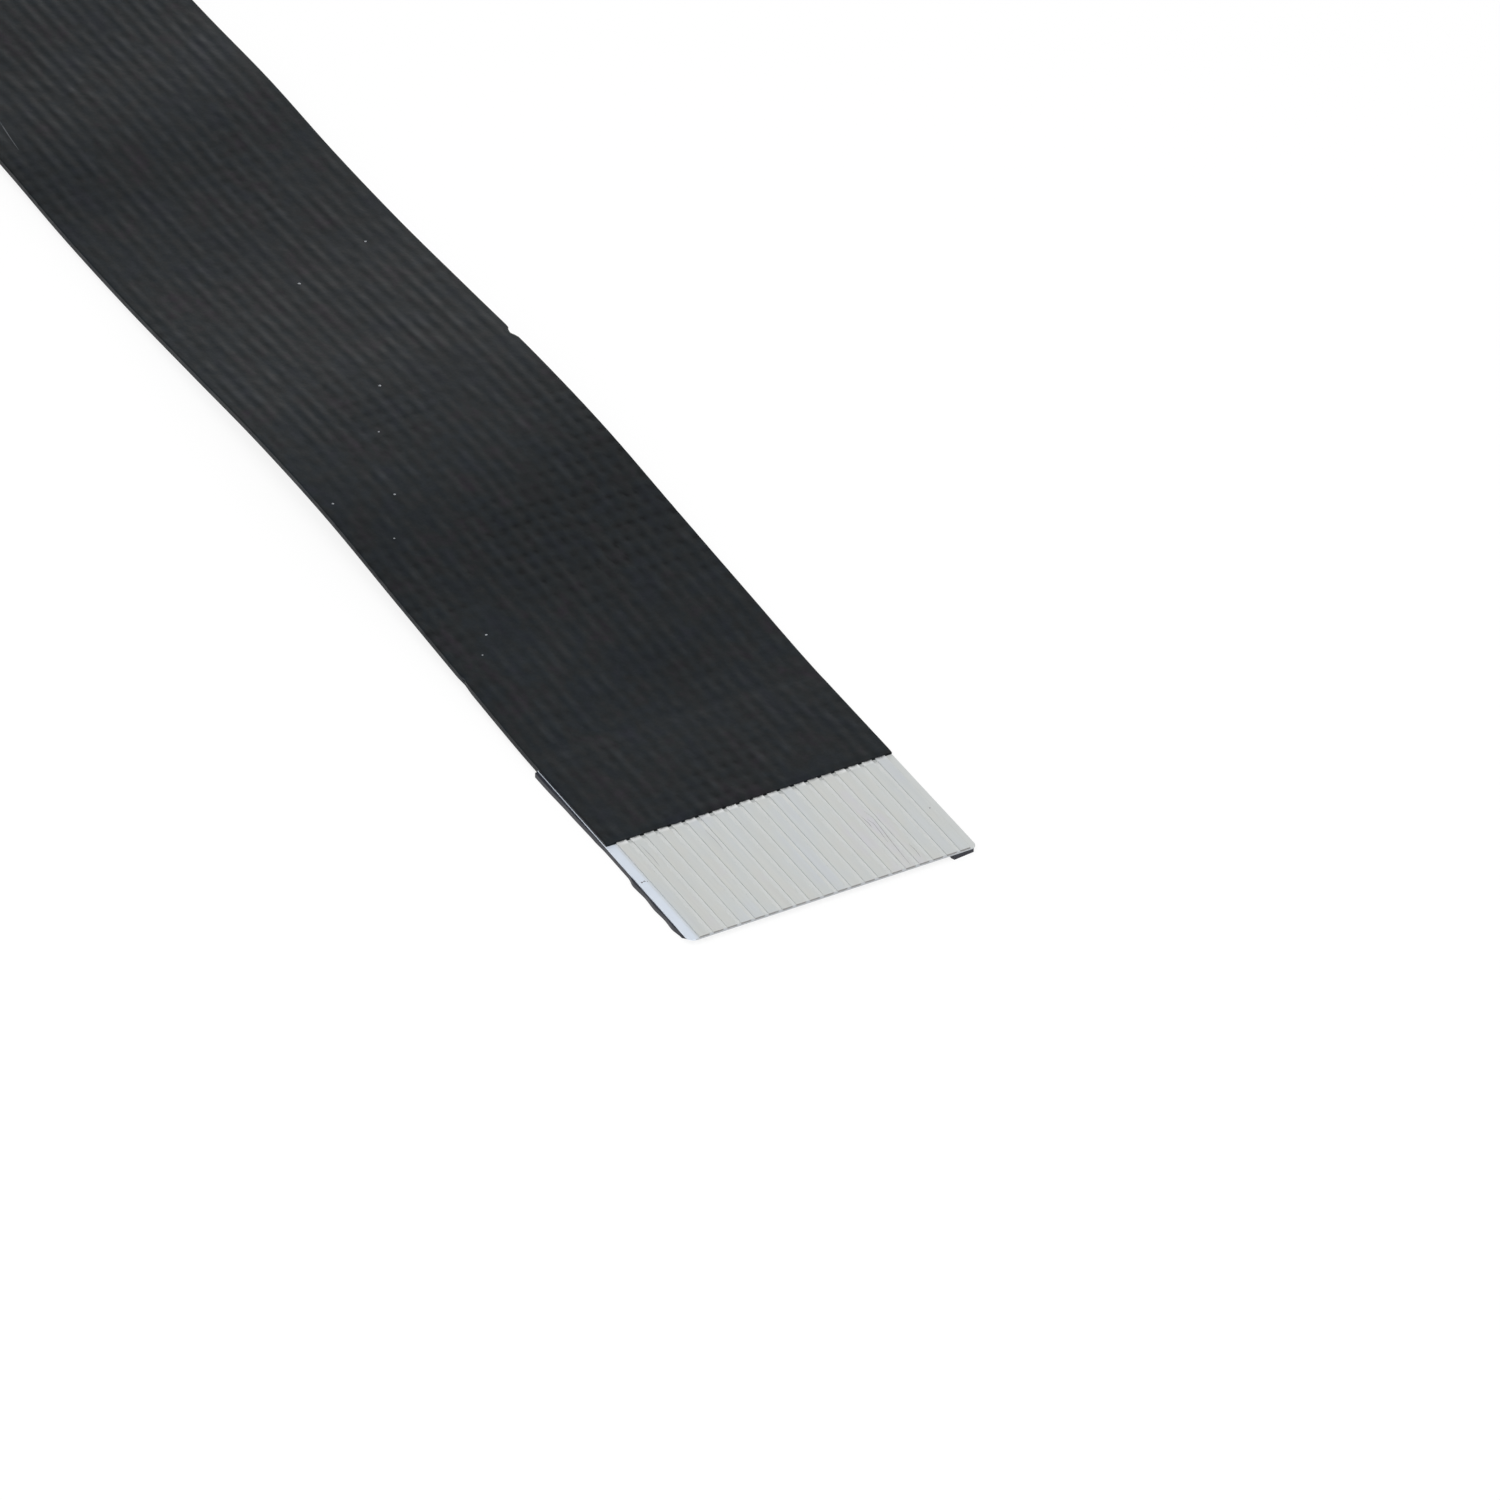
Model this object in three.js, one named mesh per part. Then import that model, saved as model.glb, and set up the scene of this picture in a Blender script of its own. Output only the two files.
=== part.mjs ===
// Flat ribbon cable with twenty tinned conductors and a bare, stiffened contact end at each tip.
// Millimetres, +Z up. The cable runs along X with its near tip at +X, contacts up, and lies on z = 0.
// The origin is the middle of the underside of its box.
import * as THREE from "three";

// Cable and conductors
const cableLength = 80;
const conductorCount = 20;
const conductorPitch = 0.5;
const conductorWidth = 0.35;
const conductorThickness = 0.05;
const conductorShift = 0.05;
const edgeMargin = 0.325;

// Laminated layers
const carrierThickness = 0.05;
const upperJacketThickness = 0.06;
const lowerJacketThickness = 0.06;
const laminateGap = 0.005;

// Ribs of the upper jacket, one over each conductor
const valleyDepth = 0.02;
const ribFacets = 6;
const scallopDepth = 0.07;

// Edge lips of the lower jacket
const lipWidth = 0.1;

// Contact ends
const bareLength = 5.65;
const stiffenerLength = 10.35;
const stiffenerThickness = 0.19;
const cornerRadius = 0.3;

// The near stiffener was cut and laid a little out of true
const stiffenerSideShift = 0.1;
const stiffenerTipSetback = 0.25;
const stiffenerTongueWidth = 0.8;
const stiffenerTongueSlant = 0.17;

// Lengthwise clearances where layers meet end to end, and the length of a step in a layer's outline
const buttGap = 0.05;
const outlineStep = 0.02;
const flatTail = 0.08;

// Longest step between two cross-sections along the waves
const stationStep = 3;

// Route of the cable behind the near stiffener, chosen by hand:
// distance back from where the flat end stops, and height above the flat ends
const route = [
  [0, 0],
  [5, 0.2],
  [10, 0.44],
  [15, 0.69],
  [20, 0.64],
  [25, 0.36],
  [30, 0.1],
  [35, 0.03],
  [40, 0.15],
  [45, 0.02],
  [50, 0.01],
  [55, 0],
  [59, 0],
];

// Values that follow from the sizes above
const conductorSpan = (conductorCount - 1) * conductorPitch + conductorWidth;
const cableWidth = conductorSpan + 2 * edgeMargin;
const halfWidth = cableWidth / 2;
const jacketStart = stiffenerLength + buttGap;
const flatLength = jacketStart + outlineStep + flatTail;

// Heights of the layers above the underside of the stiffeners
const carrierBottom = stiffenerThickness + laminateGap;
const carrierTop = carrierBottom + carrierThickness;
const conductorBottom = carrierTop + laminateGap;
const conductorTop = conductorBottom + conductorThickness;
const grooveTop = conductorTop + laminateGap;
const ribTop = grooveTop + upperJacketThickness;
const valleyTop = ribTop - valleyDepth;
const lowerJacketTop = carrierBottom - laminateGap;
const lowerJacketBottom = lowerJacketTop - lowerJacketThickness;

// Smooth height between the points of the route, level at both of its ends
const routeCurve = new THREE.CubicInterpolant(
  route.map(([distance]) => distance),
  route.map(([, height]) => height),
  1,
);
routeCurve.settings = { endingStart: THREE.ZeroSlopeEnding, endingEnd: THREE.ZeroSlopeEnding };

// Where a point of a cross-section lies: its distance back from the near tip, its place across, its height
function place(distance, across, up) {
  const [height] = routeCurve.evaluate(distance - flatLength);
  return new THREE.Vector3(cableLength / 2 - distance, across, height + up);
}

// Cross-sections shared by every layer along the waves
function waveStations() {
  const wavyLength = cableLength - 2 * flatLength;
  const count = Math.ceil(wavyLength / stationStep);
  return Array.from({ length: count + 1 }, (_, index) => flatLength + (wavyLength * index) / count);
}

// Centre of a conductor across the cable, counted from the -Y edge
function conductorCentre(index) {
  return (index - (conductorCount - 1) / 2) * conductorPitch + conductorShift;
}

// Triangles of a section's end face, turned to face the near tip
function capTriangles(section) {
  const contour = section.map(([across, up]) => new THREE.Vector2(across, up));
  return THREE.ShapeUtils.triangulateShape(contour, []).map(([a, b, c]) => {
    const turn = contour[b].clone().sub(contour[a]).cross(contour[c].clone().sub(contour[a]));
    return turn > 0 ? [a, b, c] : [a, c, b];
  });
}

// Closed solid through sections given from the near tip backwards. Each section is a list of points
// [across, up, back], counter-clockwise as seen from the near tip, and every section has as many points.
function loft(sections) {
  const size = sections[0].points.length;
  const positions = sections.flatMap(({ distance, points }) =>
    points.flatMap(([across, up, back = 0]) => place(distance + back, across, up).toArray()),
  );
  const triangles = [];
  for (let ring = 0; ring < sections.length - 1; ring += 1) {
    for (let point = 0; point < size; point += 1) {
      const next = (point + 1) % size;
      const near = ring * size;
      const far = near + size;
      triangles.push(near + point, far + next, near + next);
      triangles.push(near + point, far + point, far + next);
    }
  }
  const farRing = (sections.length - 1) * size;
  for (const [a, b, c] of capTriangles(sections[0].points)) {
    triangles.push(a, b, c);
  }
  for (const [a, b, c] of capTriangles(sections.at(-1).points)) {
    triangles.push(farRing + a, farRing + c, farRing + b);
  }
  const geometry = new THREE.BufferGeometry();
  geometry.setAttribute("position", new THREE.Float32BufferAttribute(positions, 3));
  geometry.setIndex(triangles);
  geometry.computeVertexNormals();
  return geometry;
}

// Rectangle across the cable
function bar(left, right, bottom, top) {
  return [
    [left, bottom],
    [right, bottom],
    [right, top],
    [left, top],
  ];
}

function conductorGeometry(index) {
  const left = conductorCentre(index) - conductorWidth / 2;
  const points = bar(left, left + conductorWidth, conductorBottom, conductorTop);
  const stations = [0, ...waveStations(), cableLength];
  return loft(stations.map((distance) => ({ distance, points })));
}

// Light film under the conductors. It is narrower between the lips of the lower jacket, and its
// near corner on the -Y side is rounded.
function carrierGeometry() {
  const neckHalfWidth = halfWidth - lipWidth - laminateGap;
  const neckStart = jacketStart - buttGap / 2;
  const ring = (distance, left, right) => ({ distance, points: bar(left, right, carrierBottom, carrierTop) });
  const full = (distance) => ring(distance, -halfWidth, halfWidth);
  const neck = (distance) => ring(distance, -neckHalfWidth, neckHalfWidth);
  const corner = [0, 30, 60, 90].map((degrees) => {
    const angle = THREE.MathUtils.degToRad(degrees);
    const back = cornerRadius * (1 - Math.cos(angle));
    return ring(back, -halfWidth + cornerRadius * (1 - Math.sin(angle)), halfWidth);
  });
  return loft([
    ...corner,
    full(neckStart - outlineStep),
    neck(neckStart),
    ...waveStations().map(neck),
    neck(cableLength - neckStart),
    full(cableLength - neckStart + outlineStep),
    full(cableLength),
  ]);
}

// Ribbed film over the conductors. Its underside has a groove for each conductor, and its two ends
// are scalloped, reaching furthest along each rib.
function upperJacketGeometry() {
  const groovePoints = [];
  const ribPoints = [];
  for (let index = 0; index < conductorCount; index += 1) {
    const centre = conductorCentre(index);
    const grooveReach = conductorWidth / 2 + laminateGap;
    groovePoints.push(
      { across: centre - grooveReach, up: conductorBottom, reach: 0 },
      { across: centre - grooveReach, up: grooveTop, reach: 1 },
      { across: centre + grooveReach, up: grooveTop, reach: 1 },
      { across: centre + grooveReach, up: conductorBottom, reach: 0 },
    );
    for (let facet = 0; facet < ribFacets; facet += 1) {
      const turn = facet / ribFacets;
      const rise = (1 - Math.cos(2 * Math.PI * turn)) / 2;
      ribPoints.push({
        across: centre + (turn - 0.5) * conductorPitch,
        up: valleyTop + valleyDepth * rise,
        reach: rise,
      });
    }
  }
  const outline = [
    { across: -halfWidth, up: conductorBottom, reach: 0 },
    ...groovePoints,
    { across: halfWidth, up: conductorBottom, reach: 0 },
    { across: halfWidth, up: valleyTop, reach: 0 },
    { across: conductorCentre(conductorCount - 0.5), up: valleyTop, reach: 0 },
    ...ribPoints.reverse(),
    { across: -halfWidth, up: valleyTop, reach: 0 },
  ];
  const ring = (distance, scallop) => ({
    distance,
    points: outline.map(({ across, up, reach }) => [across, up, scallop * reach]),
  });
  return loft([
    ring(bareLength, -scallopDepth),
    ...waveStations().map((distance) => ring(distance, 0)),
    ring(cableLength - bareLength, scallopDepth),
  ]);
}

// Film under the cable between the stiffeners, with a lip up each edge to the upper jacket
function lowerJacketGeometry() {
  const lipTop = conductorBottom - laminateGap;
  const inner = halfWidth - lipWidth;
  const points = [
    [-halfWidth, lowerJacketBottom],
    [halfWidth, lowerJacketBottom],
    [halfWidth, lipTop],
    [inner, lipTop],
    [inner, lowerJacketTop],
    [-inner, lowerJacketTop],
    [-inner, lipTop],
    [-halfWidth, lipTop],
  ];
  const stations = [jacketStart, ...waveStations(), cableLength - jacketStart];
  return loft(stations.map((distance) => ({ distance, points })));
}

// Strip under the near contacts: set back from the tip, but for a tongue at its +Y corner, which is
// cut at a slant
function nearStiffenerGeometry() {
  const left = -halfWidth - stiffenerSideShift;
  const right = halfWidth - stiffenerSideShift;
  const ring = (distance, from) => ({ distance, points: bar(from, right, 0, stiffenerThickness) });
  const tongue = ring(0, right - stiffenerTongueWidth);
  const slant = ([across, up]) => [across, up, across === right ? stiffenerTongueSlant : 0];
  return loft([
    { ...tongue, points: tongue.points.map(slant) },
    ring(stiffenerTipSetback, right - stiffenerTongueWidth),
    ring(stiffenerTipSetback + outlineStep, left),
    ring(stiffenerLength, left),
  ]);
}

// Strip under the far contacts, cut flush all round
function farStiffenerGeometry() {
  const points = bar(-halfWidth, halfWidth, 0, stiffenerThickness);
  return loft([cableLength - stiffenerLength, cableLength].map((distance) => ({ distance, points })));
}

const tinnedCopper = { color: "#c5c8c6", roughness: 0.42, metalness: 0.9 };
const paleFilm = { color: "#c3ccd6", roughness: 0.35, metalness: 0 };
const blackFilm = { color: "#2e3235", roughness: 0.55, metalness: 0 };
const darkStiffener = { color: "#282a32", roughness: 0.45, metalness: 0 };

function makeMesh(name, geometry, finish) {
  const mesh = new THREE.Mesh(geometry, new THREE.MeshStandardMaterial(finish));
  mesh.name = name;
  return mesh;
}

const cable = new THREE.Group();
cable.add(
  makeMesh("near_stiffener", nearStiffenerGeometry(), darkStiffener),
  makeMesh("far_stiffener", farStiffenerGeometry(), darkStiffener),
  makeMesh("lower_jacket", lowerJacketGeometry(), blackFilm),
  makeMesh("carrier_film", carrierGeometry(), paleFilm),
  makeMesh("upper_jacket", upperJacketGeometry(), blackFilm),
);
for (let index = 0; index < conductorCount; index += 1) {
  const name = `conductor_${String(index + 1).padStart(2, "0")}`;
  cable.add(makeMesh(name, conductorGeometry(index), tinnedCopper));
}

export default cable;
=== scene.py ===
import math
import random

import bpy
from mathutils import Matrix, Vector, noise


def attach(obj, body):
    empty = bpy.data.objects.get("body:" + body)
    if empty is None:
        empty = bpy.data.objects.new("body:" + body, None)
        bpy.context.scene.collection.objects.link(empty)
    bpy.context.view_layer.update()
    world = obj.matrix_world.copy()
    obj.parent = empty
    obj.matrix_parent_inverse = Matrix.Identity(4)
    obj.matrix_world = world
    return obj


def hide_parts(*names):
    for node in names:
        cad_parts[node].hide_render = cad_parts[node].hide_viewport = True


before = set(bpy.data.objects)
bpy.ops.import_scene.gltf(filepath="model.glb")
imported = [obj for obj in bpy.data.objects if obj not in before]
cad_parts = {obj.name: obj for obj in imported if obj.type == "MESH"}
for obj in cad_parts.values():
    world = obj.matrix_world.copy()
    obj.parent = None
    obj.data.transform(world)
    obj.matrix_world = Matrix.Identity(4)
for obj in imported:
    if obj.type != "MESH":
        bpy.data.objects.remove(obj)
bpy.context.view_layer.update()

MM = 0.001

# Sizes of the cable, as in the part's source, in metres
CABLE_LENGTH = 80 * MM
CABLE_WIDTH = 10.5 * MM
CONDUCTORS = 20
PITCH = 0.5 * MM
CONDUCTOR_WIDTH = 0.35 * MM
CONDUCTOR_SHIFT = 0.05 * MM
BARE_LENGTH = 5.65 * MM
STIFFENER_LENGTH = 10.35 * MM
LAMINATE_GAP = 0.005 * MM
BUTT_GAP = 0.05 * MM
OUTLINE_STEP = 0.02 * MM
FLAT_TAIL = 0.1 * MM
LIP_WIDTH = 0.1 * MM
CORNER_RADIUS = 0.3 * MM

# The jacket's ribs and scallops are a little finer here than in the part's source
VALLEY_DEPTH = 0.017 * MM
SCALLOP_DEPTH = 0.06 * MM

# Heights of the layers above the underside of the stiffeners
STIFFENER_TOP = 0.19 * MM
LOWER_JACKET_BOTTOM = 0.13 * MM
CARRIER_BOTTOM = 0.195 * MM
CARRIER_TOP = 0.245 * MM
CONDUCTOR_BOTTOM = 0.25 * MM
CONDUCTOR_TOP = 0.3 * MM
GROOVE_TOP = 0.305 * MM
RIB_TOP = 0.365 * MM
VALLEY_TOP = RIB_TOP - VALLEY_DEPTH

# Values that follow from the sizes above: half the width, and where the lower jacket starts and the flat
# near end stops, measured back from the near tip
HALF_WIDTH = CABLE_WIDTH / 2
JACKET_START = STIFFENER_LENGTH + BUTT_GAP
FLAT_LENGTH = JACKET_START + FLAT_TAIL

# Route of the cable behind the flat near end: distance back and height, as in the part's source
ROUTE = [
    (0, 0),
    (0.005, 0.0002),
    (0.010, 0.00044),
    (0.015, 0.00069),
    (0.020, 0.00064),
    (0.025, 0.00036),
    (0.030, 0.0001),
    (0.035, 0.00003),
    (0.040, 0.00015),
    (0.045, 0.00002),
    (0.050, 0.00001),
    (0.055, 0),
    (0.059, 0),
]


# Height of the cable at a distance back from the near tip, smooth and level at both ends
def route_height(distance):
    back = distance - FLAT_LENGTH
    if back <= 0 or back >= ROUTE[-1][0]:
        return 0.0
    index = max(i for i in range(len(ROUTE) - 1) if ROUTE[i][0] <= back)

    def rise(i):
        return (ROUTE[i + 1][1] - ROUTE[i][1]) / (ROUTE[i + 1][0] - ROUTE[i][0])

    start_slope = (rise(index - 1) + rise(index)) / 2 if index > 0 else 0.0
    end_slope = (rise(index) + rise(index + 1)) / 2 if index + 2 < len(ROUTE) else 0.0
    span = ROUTE[index + 1][0] - ROUTE[index][0]
    t = (back - ROUTE[index][0]) / span
    return (
        (1 + 2 * t) * (1 - t) ** 2 * ROUTE[index][1]
        + t * (1 - t) ** 2 * span * start_slope
        + t * t * (3 - 2 * t) * ROUTE[index + 1][1]
        + t * t * (t - 1) * span * end_slope
    )


# Point of the cable at a distance back from the near tip, a place across and a height in the laminate
def place(distance, across, up):
    return Vector((CABLE_LENGTH / 2 - distance, across, route_height(distance) + up))


def conductor_centre(index):
    return (index - (CONDUCTORS - 1) / 2) * PITCH + CONDUCTOR_SHIFT


def smooth_step(low, high, value):
    t = min(1.0, max(0.0, (value - low) / (high - low)))
    return t * t * (3 - 2 * t)


# Distances from low to high in steps no longer than step
def spaced(low, high, step):
    count = max(1, math.ceil((high - low) / step - 1e-9))
    return [low + (high - low) * i / count for i in range(count + 1)]


# Camera: the photograph's elevation, azimuth, distance and focal length
PHOTO_PIXELS = 1500
FOCAL_PIXELS = 11840
SENSOR_MM = 36
CAMERA_PLACE = Vector((302.888, -146.23, 228.881)) * MM
CAMERA_ELEVATION = math.radians(36.543)
CAMERA_AZIMUTH = math.radians(61.428)


def make_camera():
    data = bpy.data.cameras.new("photo_camera")
    data.sensor_width = SENSOR_MM
    data.lens = SENSOR_MM * FOCAL_PIXELS / PHOTO_PIXELS
    data.clip_start = 0.01
    data.clip_end = 10
    camera = bpy.data.objects.new("photo_camera", data)
    camera.location = CAMERA_PLACE
    camera.rotation_euler = (math.pi / 2 - CAMERA_ELEVATION, 0, CAMERA_AZIMUTH)
    bpy.context.scene.collection.objects.link(camera)
    bpy.context.scene.camera = camera


# Shader helpers
class Shader:
    """A material's node tree with short calls for the nodes that this scene uses."""

    def __init__(self, name, colour, roughness, metallic=0.0, specular=0.5):
        self.material = bpy.data.materials.new(name)
        self.material.use_nodes = True
        self.tree = self.material.node_tree
        self.surface = self.tree.nodes["Principled BSDF"]
        self.surface.inputs["Base Color"].default_value = (*colour, 1)
        self.surface.inputs["Roughness"].default_value = roughness
        self.surface.inputs["Metallic"].default_value = metallic
        self.surface.inputs["Specular IOR Level"].default_value = specular
        self.place = self.tree.nodes.new("ShaderNodeTexCoord").outputs["Object"]

    def _feed(self, socket, value):
        if isinstance(value, bpy.types.NodeSocket):
            self.tree.links.new(value, socket)
        else:
            socket.default_value = value

    # Object coordinates in millimetres, stretched along each axis
    def millimetres(self, stretch=(1, 1, 1)):
        node = self.tree.nodes.new("ShaderNodeVectorMath")
        node.operation = "MULTIPLY"
        self._feed(node.inputs[0], self.place)
        self._feed(node.inputs[1], tuple(s / MM for s in stretch))
        return node.outputs["Vector"]

    def axis(self, name):
        node = self.tree.nodes.new("ShaderNodeSeparateXYZ")
        self._feed(node.inputs[0], self.millimetres())
        return node.outputs[name]

    def math(self, operation, a, b=0.0):
        node = self.tree.nodes.new("ShaderNodeMath")
        node.operation = operation
        self._feed(node.inputs[0], a)
        self._feed(node.inputs[1], b)
        return node.outputs[0]

    def noise(self, scale, stretch=(1, 1, 1), detail=2.0, roughness=0.5):
        node = self.tree.nodes.new("ShaderNodeTexNoise")
        self._feed(node.inputs["Vector"], self.millimetres(stretch))
        node.inputs["Scale"].default_value = scale
        node.inputs["Detail"].default_value = detail
        node.inputs["Roughness"].default_value = roughness
        return node.outputs["Fac"]

    def span(self, value, low, high, new_low=0.0, new_high=1.0):
        node = self.tree.nodes.new("ShaderNodeMapRange")
        node.interpolation_type = "SMOOTHSTEP"
        self._feed(node.inputs["Value"], value)
        node.inputs["From Min"].default_value = low
        node.inputs["From Max"].default_value = high
        node.inputs["To Min"].default_value = new_low
        node.inputs["To Max"].default_value = new_high
        return node.outputs["Result"]

    def ramp(self, value, stops):
        node = self.tree.nodes.new("ShaderNodeValToRGB")
        elements = node.color_ramp.elements
        while len(elements) < len(stops):
            elements.new(0.5)
        for element, (position, colour) in zip(elements, stops):
            element.position = position
            element.color = (*colour, 1)
        self._feed(node.inputs["Fac"], value)
        return node.outputs["Color"]

    def mix(self, factor, a, b, blend="MIX"):
        node = self.tree.nodes.new("ShaderNodeMix")
        node.data_type = "RGBA"
        node.blend_type = blend
        self._feed(node.inputs[0], factor)
        self._feed(node.inputs[6], a if isinstance(a, bpy.types.NodeSocket) else (*a, 1))
        self._feed(node.inputs[7], b if isinstance(b, bpy.types.NodeSocket) else (*b, 1))
        return node.outputs[2]

    # 1 on the faces where the cable is cut off at its two tips, and 0 elsewhere. The materials darken these
    # faces, partly for the cut copper and film and partly as painted shade.
    def cut_end_shade(self):
        tip = CABLE_LENGTH / 2 / MM
        return self.span(self.math("ABSOLUTE", self.axis("X")), tip - 0.012, tip - 0.004)

    # A number that the mesh carries at each vertex
    def carried(self, name):
        node = self.tree.nodes.new("ShaderNodeAttribute")
        node.attribute_name = name
        return node.outputs["Fac"]

    def bump(self, height, strength, distance):
        node = self.tree.nodes.new("ShaderNodeBump")
        node.inputs["Strength"].default_value = strength
        node.inputs["Distance"].default_value = distance
        self._feed(node.inputs["Height"], height)
        self._feed(self.surface.inputs["Normal"], node.outputs["Normal"])

    def colour(self, value):
        self._feed(self.surface.inputs["Base Color"], value)

    def rough(self, value):
        self._feed(self.surface.inputs["Roughness"], value)


# Black ribbed film: dark grey with faint blue, green and violet patches, a painted highlight in patches
# along the crowns of the ribs, and painted shade in the dimples between them
def jacket_material():
    shader = Shader("jacket_film", (0.012, 0.014, 0.016), 0.45, specular=0.07)
    tints = shader.ramp(
        shader.noise(0.9, (0.6, 1, 1), detail=5, roughness=0.72),
        [
            (0.30, (0.0142, 0.0166, 0.0232)),
            (0.45, (0.0134, 0.0176, 0.0212)),
            (0.55, (0.0154, 0.0181, 0.0196)),
            (0.70, (0.0200, 0.0168, 0.0228)),
        ],
    )
    broad = shader.ramp(
        shader.noise(0.12, detail=2),
        [(0.35, (0.82, 0.82, 0.82)), (0.65, (1.0, 1.0, 1.0))],
    )
    base = shader.mix(1.0, tints, broad, "MULTIPLY")
    mottle = shader.ramp(
        shader.noise(2.6, (0.8, 1, 1), detail=4, roughness=0.75),
        [(0.35, (0.72, 0.72, 0.72)), (0.65, (1.0, 1.0, 1.0))],
    )
    base = shader.mix(1.0, base, mottle, "MULTIPLY")
    # Painted highlight: patches along the rib crowns are lightened towards a pale blue-grey
    crown_highlight_patches = shader.span(shader.noise(0.8, (0.25, 1.5, 1), detail=3), 0.35, 0.7, 0.2, 1.0)
    lit = shader.math("MULTIPLY", shader.carried("crown"), crown_highlight_patches)
    base = shader.mix(shader.math("MULTIPLY", lit, 0.13), base, (0.040, 0.045, 0.052))
    # Painted shade: the colour darkens towards near black with the depth of each dimple
    hollow_depth = shader.carried("hollow")
    base = shader.mix(shader.math("MULTIPLY", hollow_depth, 0.9), base, (0.002, 0.0025, 0.003))
    shader.colour(base)
    grain = shader.noise(3.0, (0.4, 1, 1), detail=3)
    duller = shader.math("MULTIPLY", hollow_depth, 0.22)
    shader.rough(shader.math("ADD", shader.span(grain, 0.3, 0.7, 0.33, 0.47), duller))
    shader.bump(shader.noise(4.5, (0.7, 1, 1), detail=4, roughness=0.65), 0.55, 0.012 * MM)
    return shader.material


# Tinned copper: even pale grey with fine lengthwise streaks and faint warm, blue and violet tints. A
# painted highlight in patches lightens it next to the jacket, and its faces at the tips are darker, partly
# the cut copper and partly painted shade for the shadow under the overhanging ends.
def tin_material():
    shader = Shader("tinned_copper", (0.56, 0.58, 0.57), 0.42, metallic=0.5)
    tints = shader.ramp(
        shader.noise(0.55, (0.5, 1, 1), detail=3, roughness=0.6),
        [
            (0.30, (0.620, 0.648, 0.670)),
            (0.45, (0.623, 0.648, 0.644)),
            (0.58, (0.636, 0.648, 0.628)),
            (0.70, (0.636, 0.636, 0.664)),
        ],
    )
    streaks = shader.ramp(
        shader.noise(6.0, (0.06, 2.2, 1), detail=4, roughness=0.7),
        [(0.3, (0.96, 0.96, 0.96)), (0.7, (1.0, 1.0, 1.0))],
    )
    base = shader.mix(1.0, tints, streaks, "MULTIPLY")
    bare_half = (CABLE_LENGTH / 2 - BARE_LENGTH) / MM
    from_jacket = shader.math("SUBTRACT", shader.math("ABSOLUTE", shader.axis("X")), bare_half)
    # Painted highlight: patches of near white on the tin next to the jacket's ends
    jacket_edge_highlight = shader.math("SUBTRACT", 1.0, shader.span(from_jacket, 0.08, 0.26))
    jacket_edge_highlight = shader.math("MULTIPLY", jacket_edge_highlight, shader.span(shader.noise(2.4, detail=2), 0.38, 0.6, 0.25, 0.9))
    base = shader.mix(jacket_edge_highlight, base, (0.93, 0.94, 0.94))
    # Darker faces at the tips: partly the cut copper, partly painted shade for the shadow under the
    # overhanging ends
    shader.colour(shader.mix(shader.cut_end_shade(), base, (0.27, 0.265, 0.26)))
    shader.rough(shader.span(shader.noise(4.0, (0.08, 2.5, 1), detail=3), 0.3, 0.7, 0.38, 0.5))
    shader.bump(shader.noise(7.0, (0.15, 2.0, 1), detail=3), 0.08, 0.006 * MM)
    return shader.material


# Carrier film: as pale as the tin between the conductors, bluish at the margins, and darker on its faces at
# the tips, partly the cut film and partly painted shade for the shadow under the overhanging ends
def carrier_material():
    shader = Shader("carrier_film", (0.52, 0.58, 0.65), 0.38, specular=0.3)
    margin = shader.span(shader.math("MULTIPLY", shader.axis("Y"), -1.0), 4.80, 5.02)
    inner = shader.mix(shader.noise(1.2, detail=2), (0.500, 0.520, 0.516), (0.550, 0.565, 0.556))
    outer = shader.mix(shader.noise(1.5, detail=3), (0.54, 0.595, 0.675), (0.62, 0.67, 0.74))
    # Darker faces at the tips: partly the cut film, partly painted shade for the shadow under the
    # overhanging ends
    shader.colour(shader.mix(shader.cut_end_shade(), shader.mix(margin, inner, outer), (0.42, 0.44, 0.46)))
    shader.bump(shader.noise(8.0, detail=2), 0.15, 0.005 * MM)
    return shader.material


# Stiffener: dark blue-grey film with a faint fibre
def stiffener_material():
    shader = Shader("stiffener_film", (0.020, 0.022, 0.030), 0.45, specular=0.3)
    fibre = shader.noise(4.0, (0.2, 1.5, 1), detail=3)
    shader.colour(shader.mix(fibre, (0.012, 0.013, 0.020), (0.030, 0.032, 0.042)))
    shader.rough(shader.span(fibre, 0.3, 0.7, 0.38, 0.55))
    shader.bump(fibre, 0.3, 0.01 * MM)
    return shader.material


# Pale dust; the worn surface that shows in scratches and spots; and a pale painted highlight streak on the
# jacket's edge rib
def dust_material():
    shader = Shader("dust", (0.3, 0.32, 0.35), 0.8)
    shader.colour(shader.mix(shader.noise(6.0), (0.16, 0.17, 0.19), (0.42, 0.44, 0.47)))
    return shader.material


def wear_and_highlight_material(name, dark, light):
    shader = Shader(name, dark, 0.6, specular=0.2)
    shader.colour(shader.mix(shader.noise(5.0), dark, light))
    return shader.material


# Mesh helpers
def make_piece(name, vertices, faces, material, slot, sharp_degrees=40):
    mesh = bpy.data.meshes.new(name)
    mesh.from_pydata(vertices, [], faces)
    mesh.validate()
    mesh.materials.append(material)
    mesh.shade_smooth()
    mesh.set_sharp_from_angle(angle=math.radians(sharp_degrees))
    piece = bpy.data.objects.new(name, mesh)
    bpy.context.scene.collection.objects.link(piece)
    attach(piece, "root")
    return piece


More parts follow.
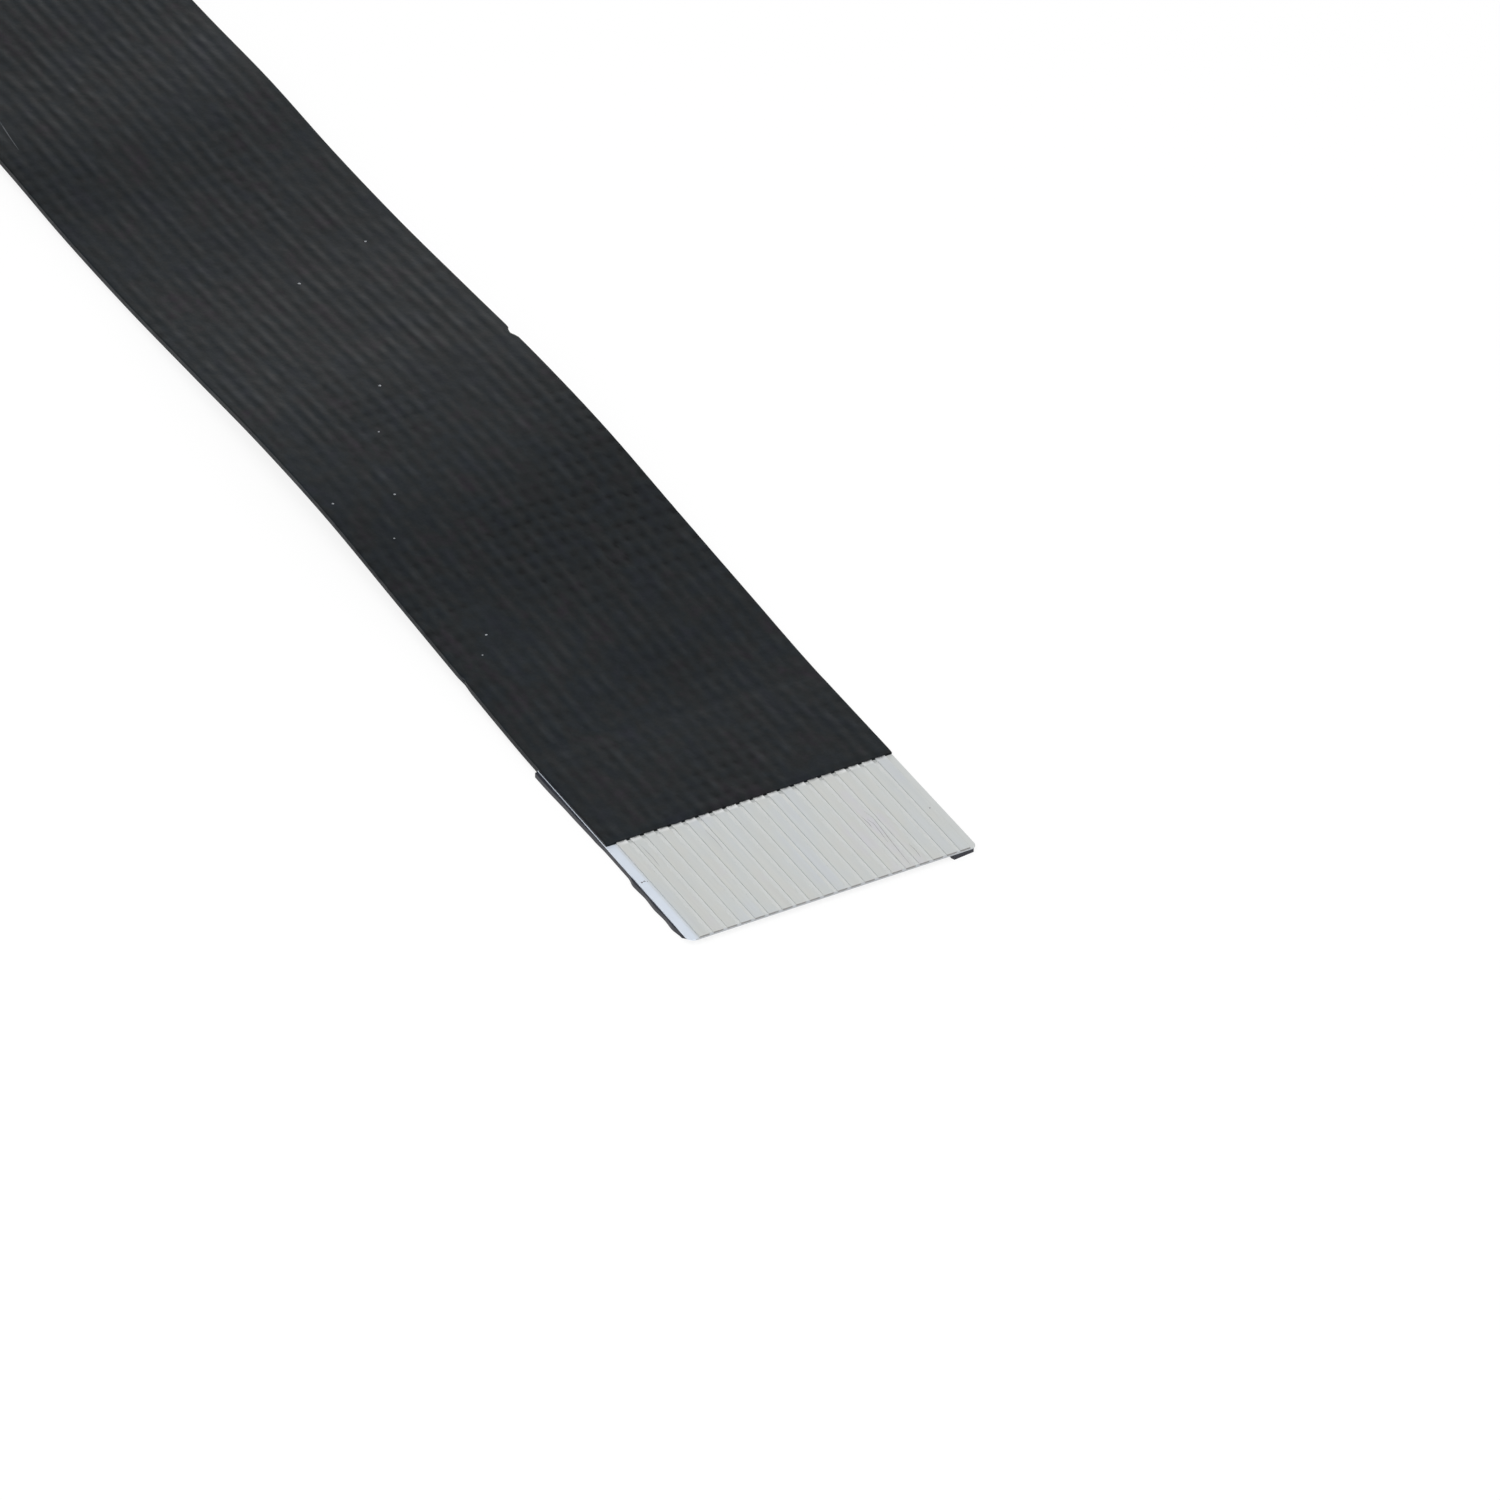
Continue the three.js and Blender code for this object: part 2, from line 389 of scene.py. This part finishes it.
# Closed solid through rings of points, each counter-clockwise as seen from the near tip, near ring first
def loft(rings):
    size = len(rings[0])
    vertices = [point for ring in rings for point in ring]
    faces = []
    for ring in range(len(rings) - 1):
        near = ring * size
        far = near + size
        for point in range(size):
            following = (point + 1) % size
            faces.append((near + point, far + point, far + following, near + following))
    faces.append(tuple(range(size)))
    last = (len(rings) - 1) * size
    faces.append(tuple(last + point for point in reversed(range(size))))
    return vertices, faces


# Rectangle across the cable with small bevels on its upper corners
def bar(left, right, bottom, top, bevel):
    return [
        (left, bottom),
        (right, bottom),
        (right, top - bevel),
        (right - bevel, top),
        (left + bevel, top),
        (left, top - bevel),
    ]


def ring_at(distance, section):
    return [place(distance, across, up) for across, up in section]


# Distances along the waves, close enough together to look smooth
def wave_stations(step):
    return spaced(FLAT_LENGTH, CABLE_LENGTH - FLAT_LENGTH, step)


WAVE_STEP = 0.5 * MM

# Rounding of the carrier film's +Y corner at the near tip
RIGHT_RADIUS = 0.22 * MM

# Adhesive between bare conductors: level with the one on its -Y side and lower beside the next
FILL_HIGH = 0.3 * MM
FILL_LOW = 0.282 * MM
FILL_CREST = 0.05 * MM
FILL_NEAR_GAP = 0.0005 * MM
FILL_FAR_GAP = 0.004 * MM
FILL_STOP = BARE_LENGTH - 0.15 * MM


# Carrier film, narrower between the lips of the lower jacket, with rounded corners at the near tip. Where
# the conductors are bare, its adhesive has risen between them.
def carrier_film(material):
    neck_half = HALF_WIDTH - LIP_WIDTH - LAMINATE_GAP
    neck_start = JACKET_START - BUTT_GAP / 2
    bevel = 0.008 * MM
    blend = 0.1 * MM
    half_gap = (PITCH - CONDUCTOR_WIDTH) / 2

    def ring(distance, left, right):
        end = min(distance, CABLE_LENGTH - distance)
        raised = 1 - smooth_step(FILL_STOP - blend, FILL_STOP, end)
        ridges = []
        for index in reversed(range(CONDUCTORS - 1)):
            centre = conductor_centre(index) + PITCH / 2
            ridges += [
                (centre + half_gap - FILL_FAR_GAP, CARRIER_TOP),
                (centre + half_gap - FILL_FAR_GAP, CARRIER_TOP + raised * (FILL_LOW - CARRIER_TOP)),
                (centre + half_gap - FILL_CREST, CARRIER_TOP + raised * (FILL_HIGH - CARRIER_TOP)),
                (centre - half_gap + FILL_NEAR_GAP, CARRIER_TOP + raised * (FILL_HIGH - CARRIER_TOP)),
                (centre - half_gap + FILL_NEAR_GAP, CARRIER_TOP),
            ]
        edge = bar(left, right, CARRIER_BOTTOM, CARRIER_TOP, bevel)
        return ring_at(distance, edge[:4] + ridges + edge[4:])

    rings = []
    for degrees in range(0, 91, 10):
        angle = math.radians(degrees)
        back = CORNER_RADIUS * (1 - math.cos(angle))
        left = -HALF_WIDTH + CORNER_RADIUS * (1 - math.sin(angle))
        short = 1 - min(1.0, back / RIGHT_RADIUS)
        right = HALF_WIDTH - RIGHT_RADIUS * (1 - math.sqrt(1 - short * short))
        rings.append(ring(back, left, right))
    near = [*spaced(1 * MM, FILL_STOP - blend, 1 * MM), FILL_STOP, neck_start - OUTLINE_STEP]
    for distance in near:
        rings.append(ring(distance, -HALF_WIDTH, HALF_WIDTH))
    for distance in [neck_start, *wave_stations(WAVE_STEP), CABLE_LENGTH - neck_start]:
        rings.append(ring(distance, -neck_half, neck_half))
    for distance in [*reversed(near), 0]:
        rings.append(ring(CABLE_LENGTH - distance, -HALF_WIDTH, HALF_WIDTH))
    piece = make_piece("carrier_strip", *loft(rings), material, "carrier")
    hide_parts("carrier_film")
    return piece


# One tinned conductor, rolled round along its -Y edge and crisp along the other
def conductor(index, material):
    centre = conductor_centre(index)
    half = CONDUCTOR_WIDTH / 2
    roll = 0.016 * MM
    crisp = 0.002 * MM
    section = [
        (centre - half, CONDUCTOR_BOTTOM),
        (centre + half, CONDUCTOR_BOTTOM),
        (centre + half, CONDUCTOR_TOP - crisp),
        (centre + half - crisp, CONDUCTOR_TOP),
        (centre + half - 3 * crisp, CONDUCTOR_TOP),
        (centre - half + 1.5 * roll, CONDUCTOR_TOP),
        (centre - half + roll, CONDUCTOR_TOP),
        (centre - half + 0.3 * roll, CONDUCTOR_TOP - 0.3 * roll),
        (centre - half, CONDUCTOR_TOP - roll),
    ]
    stations = [
        *spaced(0, BARE_LENGTH, 0.2 * MM),
        *spaced(BARE_LENGTH + 0.4 * MM, FLAT_LENGTH - 0.2 * MM, 1 * MM),
        *wave_stations(WAVE_STEP),
        *spaced(CABLE_LENGTH - FLAT_LENGTH + 0.4 * MM, CABLE_LENGTH, 0.4 * MM),
    ]
    rings = [ring_at(distance, section) for distance in stations]
    name = f"conductor_{index + 1:02d}"
    piece = make_piece(f"tinned_{name}", *loft(rings), material, "contact", 60)
    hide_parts(name)
    return piece


# Marks on the jacket, placed by their distance from the near tip and place across
CREASE_NEAR = 10.6 * MM
CREASE_FAR = 11.0 * MM
CREASE_WIDTH = 0.3 * MM
CREASE_DEPTH = 0.006 * MM
NICKS = [
    {"at": 32.1 * MM, "side": 1, "reach": 0.38 * MM, "depth": 0.12 * MM},
    {"at": 15.6 * MM, "side": -1, "reach": 0.2 * MM, "depth": 0.05 * MM},
]
DIMPLE_PITCH = 0.75 * MM
DIMPLE_DEPTH = 0.007 * MM
EDGE_PRESS = 0.45
EDGE_THICKNESS = 0.012 * MM


# How far a nick cuts the jacket's edge back at this distance
def nick_depth(distance, side):
    depth = 0.0
    for nick in NICKS:
        if nick["side"] == side:
            off = abs(distance - nick["at"]) / nick["reach"]
            depth += nick["depth"] * (1 - smooth_step(0.2, 1.0, off))
    return depth


# How strongly the dimples show here, from 0 to 1. They are deepest on the near slope of the hump.
def dimple_strength(distance, across):
    patch = noise.noise(Vector((distance / MM * 0.22, across / MM * 0.3, 4.0)))
    slope = smooth_step(15 * MM, 18 * MM, distance) * (1 - smooth_step(24 * MM, 28 * MM, distance))
    right_part = smooth_step(-3.5 * MM, 0, across)
    far_part = smooth_step(26 * MM, 33 * MM, distance)
    return min(1.0, max(0.0, 0.32 - 0.3 * far_part + 0.9 * patch + 0.6 * slope * right_part))


# How far across a rib a place is: 1 on its crown and 0 in the valleys and on the cable's margins
def over_rib(across):
    rib_place = (across - CONDUCTOR_SHIFT) / PITCH + 0.5
    crown = (1 + math.cos(2 * math.pi * rib_place)) / 2
    return crown * (1 - smooth_step(5.05 * MM, 5.15 * MM, abs(across)))


# How close a place is to the crease where the stiffener starts, from 0 to 1. The crease presses the ribs
# flat.
def in_crease(distance, across):
    line = CREASE_FAR + (CREASE_NEAR - CREASE_FAR) * (across / CABLE_WIDTH + 0.5)
    line += 0.12 * MM * noise.noise(Vector((across / MM * 0.9, 0.3, 8.0)))
    off = (distance - line) / CREASE_WIDTH
    return math.exp(-off * off * off * off)


# How deep a place lies in a dimple, from 0 to 1. The dimples line up across the cable, a little askew.
def hollow(distance, across):
    rib = math.floor((across - CONDUCTOR_SHIFT) / PITCH)
    sway = 0.9 * noise.noise(Vector((distance / MM * 0.12, across / MM * 0.16, 9.0)))
    askew = 0.3 * noise.noise(Vector((rib * 5.1, distance / MM * 0.4, 3.0)))
    turn = 2 * math.pi * (distance / DIMPLE_PITCH + sway + askew)
    spot = ((1 + math.cos(turn)) / 2) ** 2
    uneven = 0.75 + 0.6 * noise.noise(Vector((distance / MM * 1.3, rib * 2.3, 5.0)))
    deep = spot * uneven * dimple_strength(distance, across) * (1 - 0.8 * over_rib(across))
    return min(1.0, deep) * (1 - in_crease(distance, across))


# How high a rib stands here, about 0 to 1: its crown is broken by small dips and pressed flat in the crease
def rib_height(distance, across):
    rib = round((across - CONDUCTOR_SHIFT) / PITCH + 0.5)
    slow = noise.noise(Vector((distance / MM * 0.35, rib * 3.7, 1.0)))
    quick = noise.noise(Vector((distance / MM * 1.4, rib * 7.9, 6.0)))
    broken = max(0.0, 0.6 + 0.7 * slow + 0.9 * quick)
    return over_rib(across) * broken * (1 - 0.85 * in_crease(distance, across))


# Height of the jacket's top above the stiffeners' underside. At its two ends the film is pressed down
# towards the conductors.
def jacket_top(distance, across):
    rise = VALLEY_DEPTH * rib_height(distance, across)
    dip = DIMPLE_DEPTH * hollow(distance, across)
    crease = CREASE_DEPTH * in_crease(distance, across)
    grain = 0.0012 * MM * noise.noise(Vector((distance / MM * 2.1, across / MM * 3.3, 2.0)))
    top = VALLEY_TOP + rise - dip - crease + grain
    end = min(distance - BARE_LENGTH, CABLE_LENGTH - BARE_LENGTH - distance)
    pressed = EDGE_PRESS * (1 - smooth_step(-0.02 * MM, 0.28 * MM, end))
    return top - pressed * (top - GROOVE_TOP - EDGE_THICKNESS)


# Cross-sections of the jacket: close together at its two edges, and closer where the photograph shows it
EDGE_OFFSETS = (0, 0.015, 0.04, 0.08, 0.14, 0.22, 0.32, 0.45)
SEEN_LENGTH = 58 * MM
SCALLOP_REACH = 0.3 * MM


# Ribbed film over the conductors, with a groove under it for each and scalloped ends
def upper_jacket(material):
    columns = [-HALF_WIDTH, -HALF_WIDTH + 0.02 * MM]
    first = conductor_centre(-0.5)
    last = conductor_centre(CONDUCTORS - 0.5)
    columns += spaced(-HALF_WIDTH + 0.08 * MM, first - 0.06 * MM, 0.08 * MM)
    columns += spaced(first, last, PITCH / 8)
    columns += spaced(last + 0.06 * MM, HALF_WIDTH - 0.05 * MM, 0.08 * MM)
    columns += [HALF_WIDTH - 0.02 * MM, HALF_WIDTH]

    grooves = [(-HALF_WIDTH, CONDUCTOR_BOTTOM)]
    reach = CONDUCTOR_WIDTH / 2 + LAMINATE_GAP
    for index in range(CONDUCTORS):
        centre = conductor_centre(index)
        grooves += [
            (centre - reach, CONDUCTOR_BOTTOM),
            (centre - reach, GROOVE_TOP),
            (centre + reach, GROOVE_TOP),
            (centre + reach, CONDUCTOR_BOTTOM),
        ]
    grooves.append((HALF_WIDTH, CONDUCTOR_BOTTOM))

    end = CABLE_LENGTH - BARE_LENGTH
    near_edge = [BARE_LENGTH + offset * MM for offset in EDGE_OFFSETS]
    far_edge = [end - (distance - BARE_LENGTH) for distance in reversed(near_edge)]
    seen = spaced(near_edge[-1] + 0.17 * MM, SEEN_LENGTH, 0.19 * MM)
    unseen = spaced(SEEN_LENGTH + 0.3 * MM, far_edge[0] - 0.2 * MM, 0.3 * MM)

    rings = []
    carried = {"crown": [], "hollow": []}
    for distance in near_edge + seen + unseen + far_edge:
        near_end = 1 - smooth_step(0, SCALLOP_REACH, distance - BARE_LENGTH)
        far_end = 1 - smooth_step(0, SCALLOP_REACH, end - distance)

        def point(across, up):
            rib = round((across - CONDUCTOR_SHIFT) / PITCH + 0.5)
            uneven = 0.9 + 0.35 * noise.noise(Vector((rib * 2.9, 0.5, 6.0)))
            scallop = SCALLOP_DEPTH * over_rib(across) * uneven
            side = 1 if across > 0 else -1
            pull = smooth_step(4.9 * MM, HALF_WIDTH, abs(across)) * nick_depth(distance, side)
            back = distance - scallop * near_end + scallop * far_end
            return place(back, across - side * pull, up)

        ring = [point(across, up) for across, up in grooves]
        carried["crown"] += [0.0] * len(grooves)
        carried["hollow"] += [0.0] * len(grooves)
        for across in reversed(columns):
            up = jacket_top(distance, across)
            if abs(across) > HALF_WIDTH - 0.01 * MM:
                up -= 0.015 * MM
            ring.append(point(across, up))
            carried["crown"].append(rib_height(distance, across) ** 3)
            carried["hollow"].append(hollow(distance, across))
        rings.append(ring)
    piece = make_piece("ribbed_jacket", *loft(rings), material, "jacket", 50)
    for name, values in carried.items():
        piece.data.attributes.new(name, "FLOAT", "POINT").data.foreach_set("value", values)
    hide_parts("upper_jacket")
    return piece


# Film under the cable between the stiffeners, with a lip up each edge
def lower_jacket(material):
    lip_top = CARRIER_TOP
    lip_floor = CARRIER_BOTTOM - LAMINATE_GAP
    rings = []
    for distance in [JACKET_START, *wave_stations(WAVE_STEP), CABLE_LENGTH - JACKET_START]:
        left = -HALF_WIDTH + nick_depth(distance, -1)
        right = HALF_WIDTH - nick_depth(distance, 1)
        section = [
            (left, LOWER_JACKET_BOTTOM),
            (right, LOWER_JACKET_BOTTOM),
            (right, lip_top),
            (HALF_WIDTH - LIP_WIDTH, lip_top),
            (HALF_WIDTH - LIP_WIDTH, lip_floor),
            (-HALF_WIDTH + LIP_WIDTH, lip_floor),
            (-HALF_WIDTH + LIP_WIDTH, lip_top),
            (left, lip_top),
        ]
        rings.append(ring_at(distance, section))
    piece = make_piece("lower_film", *loft(rings), material, "jacket")
    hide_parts("lower_jacket")
    return piece


# How far the near stiffener stands out past the cable's left edge, by distance from the near tip, in
# millimetres
STIFFENER_EDGE = [
    (0.25, -0.30),
    (0.55, -0.02),
    (1.1, 0.055),
    (1.6, 0.03),
    (2.3, 0.065),
    (2.9, 0.035),
    (3.7, 0.075),
    (4.1, 0.00),
    (5.6, 0.00),
    (6.4, 0.03),
    (8.0, 0.06),
    (9.8, 0.10),
    (10.35, 0.10),
]
TONGUE_WIDTH = 0.8 * MM
TONGUE_SLANT = 0.08 * MM
TIP_SETBACK = 0.25 * MM
RIGHT_INSET = 0.1 * MM


def edge_reach(distance):
    points = [(at * MM, reach * MM) for at, reach in STIFFENER_EDGE]
    for (start, low), (end, high) in zip(points, points[1:]):
        if distance <= end:
            return low + (high - low) * smooth_step(start, end, distance)
    return points[-1][1]


# Strip under the near contacts, set back from the tip except for a slanted tongue at its right corner
def near_stiffener(material):
    right = HALF_WIDTH - RIGHT_INSET
    bevel = 0.015 * MM
    rings = []
    for distance in spaced(0, TIP_SETBACK - 0.01 * MM, 0.06 * MM):
        round_off = 0.05 * MM * (1 - smooth_step(0, 0.12 * MM, distance))
        left = right - TONGUE_WIDTH + round_off
        slant = TONGUE_SLANT * (1 - distance / TIP_SETBACK)
        ring = []
        for across, up in bar(left, right, 0, STIFFENER_TOP, bevel):
            ring.append(place(distance + slant * (across - left) / TONGUE_WIDTH, across, up))
        rings.append(ring)
    for distance in spaced(TIP_SETBACK, STIFFENER_LENGTH, 0.15 * MM):
        left = -HALF_WIDTH - edge_reach(distance)
        rings.append(ring_at(distance, bar(left, right, 0, STIFFENER_TOP, bevel)))
    piece = make_piece("stiffener_near_end", *loft(rings), material, "stiffener")
    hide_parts("near_stiffener")
    return piece


def far_stiffener(material):
    section = bar(-HALF_WIDTH, HALF_WIDTH, 0, STIFFENER_TOP, 0.015 * MM)
    stations = spaced(CABLE_LENGTH - STIFFENER_LENGTH, CABLE_LENGTH, 1 * MM)
    rings = [ring_at(distance, section) for distance in stations]
    piece = make_piece("stiffener_far_end", *loft(rings), material, "stiffener")
    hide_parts("far_stiffener")
    return piece


# Dust flecks on the jacket: distance from the near tip, place across and size, in millimetres
FLECKS = [
    (39.9, 3.6, 0.10),
    (38.6, 0.4, 0.12),
    (31.3, -0.25, 0.12),
    (28.8, -1.55, 0.09),
    (25.3, -2.75, 0.09),
    (25.8, -4.8, 0.10),
    (23.2, -3.85, 0.07),
    (17.3, -3.5, 0.10),
    (16.4, -4.1, 0.08),
]

# Dark spots on the bare end: distance from the near tip, place across and size, in millimetres
SPOTS = [
    (3.45, -5.12, 0.09),
    (3.47, -5.02, 0.09),
    (3.42, -4.94, 0.05),
    (2.45, 4.87, 0.07),
]

# Scratches: the layer's height, and points on the line as distance from the near tip and place across,
# in millimetres
SCRATCHES = [
    (CONDUCTOR_TOP, [(3.3, 2.92), (2.9, 3.01), (2.2, 2.96), (1.4, 2.90), (0.6, 2.86), (0.1, 2.84)]),
    (CONDUCTOR_TOP, [(3.1, 2.70), (2.7, 2.74), (2.4, 2.72)]),
    (CONDUCTOR_TOP, [(2.9, 2.80), (2.6, 2.87), (2.1, 2.84), (1.5, 2.79)]),
    (CONDUCTOR_TOP, [(1.1, 3.34), (0.7, 3.36), (0.3, 3.33)]),
    (CONDUCTOR_TOP, [(4.9, -2.05), (4.2, -2.02), (3.7, -2.04)]),
    (CONDUCTOR_TOP, [(5.2, -4.26), (4.4, -4.22), (3.9, -4.25)]),
]
# Painted highlight: a pale streak along the jacket's edge rib, as points at a distance from the near tip
# and a place across, in millimetres
RIB_EDGE_HIGHLIGHT = [(52.7, -4.20), (52.2, -4.26), (51.6, -4.33), (50.7, -4.42)]
SCRATCH_WIDTH = 0.02 * MM
SLIVER_HEIGHT = 0.002 * MM
SLIVER_FOOT = 0.0005 * MM
STEPS_PER_LEG = 8


# Thin closed slivers along lines on the cable, tapering to both ends
def slivers(name, lines, width, material, slot):
    vertices = []
    faces = []
    for top, line in lines:
        rings = []
        steps = STEPS_PER_LEG * (len(line) - 1)
        for step in range(steps + 1):
            index = min(step // STEPS_PER_LEG, len(line) - 2)
            share = step / STEPS_PER_LEG - index
            (start, low), (stop, high) = line[index], line[index + 1]
            distance = (start + (stop - start) * share) * MM
            across = (low + (high - low) * share) * MM
            full = math.sin(math.pi * min(0.97, max(0.03, step / steps)))
            half = width / 2 * full ** 0.5
            up = top(distance, across) if callable(top) else top
            foot = up - SLIVER_FOOT
            section = [(across - half, foot), (across + half, foot), (across, up + SLIVER_HEIGHT)]
            rings.append(ring_at(distance, section))
        first = len(vertices)
        points, sides = loft(list(reversed(rings)) if line[0][0] > line[-1][0] else rings)
        vertices += points
        faces += [tuple(first + corner for corner in side) for side in sides]
    return make_piece(name, vertices, faces, material, slot, 80)


GRAIN_SIDES = 8


# Small flattened grains, each a closed lump with an uneven rim
def grains(name, places, material):
    draw = random.Random(11)
    vertices = []
    faces = []
    for distance, across, up, size in places:
        first = len(vertices)
        centre = place(distance, across, up)
        for corner in range(GRAIN_SIDES):
            angle = 2 * math.pi * corner / GRAIN_SIDES
            radius = size / 2 * draw.uniform(0.6, 1.1)
            vertices.append(centre + Vector((radius * math.cos(angle), radius * math.sin(angle), 0)))
        vertices.append(centre + Vector((0, 0, size * 0.25)))
        vertices.append(centre - Vector((0, 0, size * 0.05)))
        for corner in range(GRAIN_SIDES):
            following = (corner + 1) % GRAIN_SIDES
            faces.append((first + corner, first + following, first + GRAIN_SIDES))
            faces.append((first + following, first + corner, first + GRAIN_SIDES + 1))
    return make_piece(name, vertices, faces, material, "jacket", 80)


# Studio: a white floor that keeps the cable's soft shadow, white surroundings and plain soft lamps
FLOOR_BELOW = 0.01 * MM
FLOOR_REACH = 1.5
FLOOR_GLOW_SHARE = 0.85


# The given share for what the camera sees, straight or by way of gloss or glass, and 0 for other rays
def white_when_seen(tree, share):
    path = tree.nodes.new("ShaderNodeLightPath")
    seen = tree.nodes.new("ShaderNodeMath")
    seen.operation = "MAXIMUM"
    tree.links.new(path.outputs["Is Camera Ray"], seen.inputs[0])
    tree.links.new(path.outputs["Is Glossy Ray"], seen.inputs[1])
    also = tree.nodes.new("ShaderNodeMath")
    also.operation = "MAXIMUM"
    tree.links.new(seen.outputs[0], also.inputs[0])
    tree.links.new(path.outputs["Is Transmission Ray"], also.inputs[1])
    factor = tree.nodes.new("ShaderNodeMath")
    factor.operation = "MULTIPLY"
    factor.inputs[1].default_value = share
    tree.links.new(also.outputs[0], factor.inputs[0])
    return factor.outputs[0]


def make_floor():
    mesh = bpy.data.meshes.new("studio_floor")
    corners = [(-1, -1), (1, -1), (1, 1), (-1, 1)]
    points = [(x * FLOOR_REACH, y * FLOOR_REACH, -FLOOR_BELOW) for x, y in corners]
    mesh.from_pydata(points, [], [(0, 1, 2, 3)])
    floor = bpy.data.objects.new("studio_floor", mesh)
    bpy.context.scene.collection.objects.link(floor)
    material = bpy.data.materials.new("studio_white")
    material.use_nodes = True
    tree = material.node_tree
    surface = tree.nodes["Principled BSDF"]
    surface.inputs["Base Color"].default_value = (1, 1, 1, 1)
    surface.inputs["Roughness"].default_value = 0.9
    surface.inputs["Specular IOR Level"].default_value = 0.0
    glow = tree.nodes.new("ShaderNodeEmission")
    glow.inputs["Color"].default_value = (1, 1, 1, 1)
    glow.inputs["Strength"].default_value = 1.0
    blend = tree.nodes.new("ShaderNodeMixShader")
    tree.links.new(white_when_seen(tree, FLOOR_GLOW_SHARE), blend.inputs[0])
    tree.links.new(surface.outputs[0], blend.inputs[1])
    tree.links.new(glow.outputs[0], blend.inputs[2])
    tree.links.new(blend.outputs[0], tree.nodes["Material Output"].inputs["Surface"])
    mesh.materials.append(material)


# Soft light from all round, weaker from above, behind a plain white view
def make_world(strength):
    world = bpy.data.worlds.new("studio_world")
    world.use_nodes = True
    tree = world.node_tree
    plain = tree.nodes["Background"]
    plain.inputs["Strength"].default_value = strength
    direction = tree.nodes.new("ShaderNodeSeparateXYZ")
    tree.links.new(tree.nodes.new("ShaderNodeTexCoord").outputs["Generated"], direction.inputs[0])
    height = tree.nodes.new("ShaderNodeValToRGB")
    height.color_ramp.elements[0].position = 0.15
    height.color_ramp.elements[0].color = (1, 1, 1, 1)
    height.color_ramp.elements[1].position = 0.85
    height.color_ramp.elements[1].color = (0.45, 0.45, 0.45, 1)
    tree.links.new(direction.outputs["Z"], height.inputs["Fac"])
    tree.links.new(height.outputs["Color"], plain.inputs["Color"])
    white = tree.nodes.new("ShaderNodeBackground")
    white.inputs["Color"].default_value = (1, 1, 1, 1)
    white.inputs["Strength"].default_value = 1.0
    path = tree.nodes.new("ShaderNodeLightPath")
    blend = tree.nodes.new("ShaderNodeMixShader")
    tree.links.new(path.outputs["Is Camera Ray"], blend.inputs[0])
    tree.links.new(plain.outputs[0], blend.inputs[1])
    tree.links.new(white.outputs[0], blend.inputs[2])
    tree.links.new(blend.outputs[0], tree.nodes["World Output"].inputs["Surface"])
    bpy.context.scene.world = world


# Rectangular lamp aimed at the origin from a direction in degrees and a distance in metres
def make_lamp(name, azimuth, elevation, distance, size, power):
    data = bpy.data.lights.new(name, "AREA")
    data.shape = "RECTANGLE"
    data.size = size[0]
    data.size_y = size[1]
    data.energy = power
    lamp = bpy.data.objects.new(name, data)
    level = math.cos(math.radians(elevation))
    lamp.location = distance * Vector(
        (
            level * math.cos(math.radians(azimuth)),
            level * math.sin(math.radians(azimuth)),
            math.sin(math.radians(elevation)),
        )
    )
    lamp.rotation_euler = (-lamp.location).to_track_quat("-Z", "Y").to_euler()
    bpy.context.scene.collection.objects.link(lamp)


make_camera()
carrier = carrier_film(carrier_material())
tin = tin_material()
black = jacket_material()
dark = stiffener_material()
conductors = [conductor(index, tin) for index in range(CONDUCTORS)]
layers = [upper_jacket(black), lower_jacket(black), near_stiffener(dark), far_stiffener(dark)]

path_up = (CARRIER_BOTTOM + CARRIER_TOP) / 2
path = [place(distance, 0, path_up) for distance in spaced(0, CABLE_LENGTH, 1 * MM)]

flecks = [(at * MM, across * MM, size * MM) for at, across, size in FLECKS]
grains(
    "dust_flecks",
    [(at, across, jacket_top(at, across), size) for at, across, size in flecks],
    dust_material(),
)

first_conductor_edge = conductor_centre(0) - CONDUCTOR_WIDTH / 2
spots = [(at * MM, across * MM, size * MM) for at, across, size in SPOTS]
grains(
    "end_spots",
    [
        (at, across, CARRIER_TOP if across < first_conductor_edge else CONDUCTOR_TOP, size)
        for at, across, size in spots
    ],
    wear_and_highlight_material("dirt_spot", (0.10, 0.10, 0.11), (0.26, 0.26, 0.27)),
)
worn_tin = wear_and_highlight_material("scratched_tin", (0.12, 0.13, 0.14), (0.34, 0.34, 0.34))
slivers("end_scratches", SCRATCHES, SCRATCH_WIDTH, worn_tin, "contact")
# Painted highlight streak on the jacket's edge rib, drawn as a pale raised sliver
pale = wear_and_highlight_material("painted_rib_highlight", (0.040, 0.044, 0.048), (0.095, 0.100, 0.110))
slivers("jacket_rib_highlight", [(jacket_top, RIB_EDGE_HIGHLIGHT)], 0.05 * MM, pale, "jacket")

make_floor()
make_world(0.8)
make_lamp("front_softbox", -25, 58, 0.24, (0.24, 0.24), 0.455)
make_lamp("back_softbox", 138, 17, 0.155, (0.12, 0.03), 0.032)

bpy.context.scene.view_settings.view_transform = "Standard"
